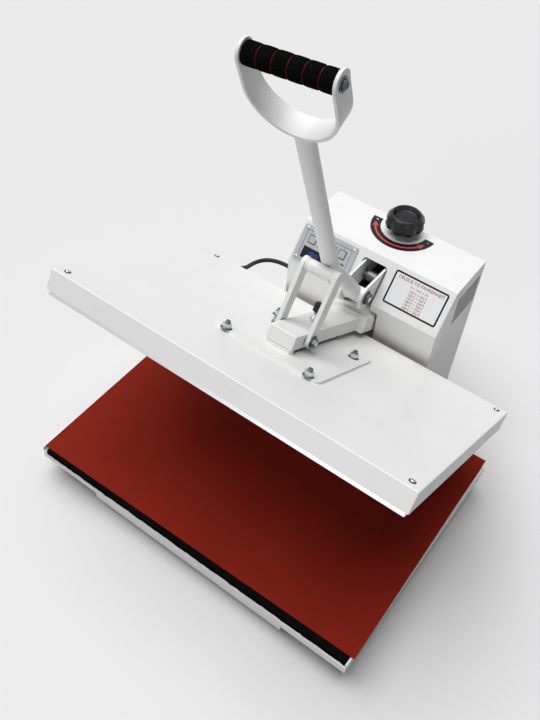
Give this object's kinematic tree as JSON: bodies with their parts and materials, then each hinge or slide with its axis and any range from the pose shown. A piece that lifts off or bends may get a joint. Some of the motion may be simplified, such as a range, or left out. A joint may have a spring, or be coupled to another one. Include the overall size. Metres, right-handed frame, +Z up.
{
  "type": "flat heat press",
  "caption": "Flat clamshell heat press with a swinging heated platen on a toggle lever, a padded lower table, a pressure knob and a sloped control box.",
  "frame": {"origin": "on the bench, under the middle of the press's box", "axes": "+X to the operator's right, +Y from the operator to the control box, +Z up"},
  "size_m": [0.6074, 0.6201, 0.7909],
  "materials": {
    "white_paint": "smooth off-white powder coat",
    "zinc": "bright zinc-plated steel",
    "dark_steel": "plain dark steel",
    "black_plastic": "matte black moulded plastic",
    "black_rubber": "matte black rubber",
    "foam": "open black foam",
    "silicone": "matte red-brown silicone",
    "red_foam": "matte red foam",
    "grey_plastic": "matte light grey plastic",
    "window": "dark blue tinted window",
    "blanket": "woven white insulation",
    "alloy": "cast aluminium with a smooth lower face"
  },
  "bodies": {
    "frame": {"base_frame": "white_paint", "rubber_feet": "black_rubber", "lower_tray": "white_paint", "tray_bolts": "zinc", "foam_pad": "foam", "silicone_mat": "silicone", "hinge_uprights": "white_paint", "screw_plate": "white_paint", "hinge_pin": "dark_steel", "hinge_nuts": "zinc", "control_box": "white_paint", "box_brackets": "zinc", "back_panel": "white_paint", "box_screws": "zinc", "controller_face": "grey_plastic", "controller_housing": "black_plastic", "display_window": "window", "solid_state_relay": "black_plastic", "terminal_block": "grey_plastic", "switch_body": "black_plastic", "mains_gland": "black_plastic", "box_gland": "black_plastic", "heater_lead": "black_rubber"},
    "knob": {"pressure_knob": "black_plastic", "knob_collar": "zinc", "pressure_screw": "dark_steel"},
    "bracket": {"pressure_bracket": "white_paint", "bracket_nut": "zinc", "lever_bolt": "dark_steel"},
    "platen": {"arm": "white_paint", "arm_spacer": "black_plastic", "mount_plate": "white_paint", "platen_cover": "white_paint", "platen_standoffs": "zinc", "cover_screws": "dark_steel", "insulation_blanket": "blanket", "heating_plate": "alloy", "heating_element": "dark_steel", "temperature_probe": "dark_steel", "platen_studs": "zinc", "flange_nuts": "zinc", "stop_stud": "zinc", "stop_bumper": "black_rubber", "link_bolt": "zinc", "link_washers": "zinc", "platen_gland": "black_plastic"},
    "lever": {"lever_tube": "white_paint", "crossbar": "white_paint", "handle_strap": "white_paint", "grip_sleeve": "red_foam", "grip_rings_foam": "foam", "grip_bolt": "dark_steel"},
    "links": {"link_left": "white_paint", "link_right": "white_paint"},
    "key_1": {"button_1": "grey_plastic"},
    "key_2": {"button_2": "grey_plastic"},
    "key_3": {"button_3": "grey_plastic"},
    "key_4": {"button_4": "grey_plastic"},
    "rocker": {"switch_rocker": "black_plastic"}
  },
  "joints": [
    {"name": "arm_hinge", "type": "hinge", "parent": "frame", "child": "platen", "pos_m": [0, 0.2836, 0.1165], "axis": [1, 0, 0], "range_deg": [0, 30.45], "deforming": ["heater_lead"]},
    {"name": "knob_spin", "type": "hinge", "parent": "frame", "child": "knob", "pos_m": [0, 0.276, 0.3], "axis": [0, 0, 1], "range_deg": [-361, 361]},
    {"name": "bracket_slide", "type": "slide", "parent": "frame", "child": "bracket", "axis": [0, 0, 1], "range_m": [-0.002, 0.002]},
    {"name": "lever_pivot", "type": "hinge", "parent": "bracket", "child": "lever", "pos_m": [0, 0.1345, 0.2745], "axis": [1, 0, 0], "range_deg": [0, 80.6]},
    {"name": "link_pivot", "type": "hinge", "parent": "platen", "child": "links", "pos_m": [0, -0.04386, 0.32548], "axis": [1, 0, 0], "range_deg": [-60.2, 0]},
    {"name": "key_1_press", "type": "slide", "parent": "frame", "child": "key_1", "axis": [0, 0.802, -0.5974], "range_m": [0, 0.001], "stiffness_N_per_m": 500, "springref_m": -0.0008},
    {"name": "key_2_press", "type": "slide", "parent": "frame", "child": "key_2", "axis": [0, 0.802, -0.5974], "range_m": [0, 0.001], "stiffness_N_per_m": 500, "springref_m": -0.0008},
    {"name": "key_3_press", "type": "slide", "parent": "frame", "child": "key_3", "axis": [0, 0.802, -0.5974], "range_m": [0, 0.001], "stiffness_N_per_m": 500, "springref_m": -0.0008},
    {"name": "key_4_press", "type": "slide", "parent": "frame", "child": "key_4", "axis": [0, 0.802, -0.5974], "range_m": [0, 0.001], "stiffness_N_per_m": 500, "springref_m": -0.0008},
    {"name": "switch_rock", "type": "hinge", "parent": "frame", "child": "rocker", "pos_m": [0.084, 0.299, 0.096], "axis": [1, 0, 0], "range_deg": [-8, 8]}
  ],
  "couplings": [
    {"joint": "lever_pivot", "follows": "arm_hinge", "ratio": 2.6436},
    {"joint": "link_pivot", "follows": "arm_hinge", "ratio": -1.9741},
    {"joint": "knob_spin", "follows": "bracket_slide", "rad_per_m": -3141.6}
  ]
}
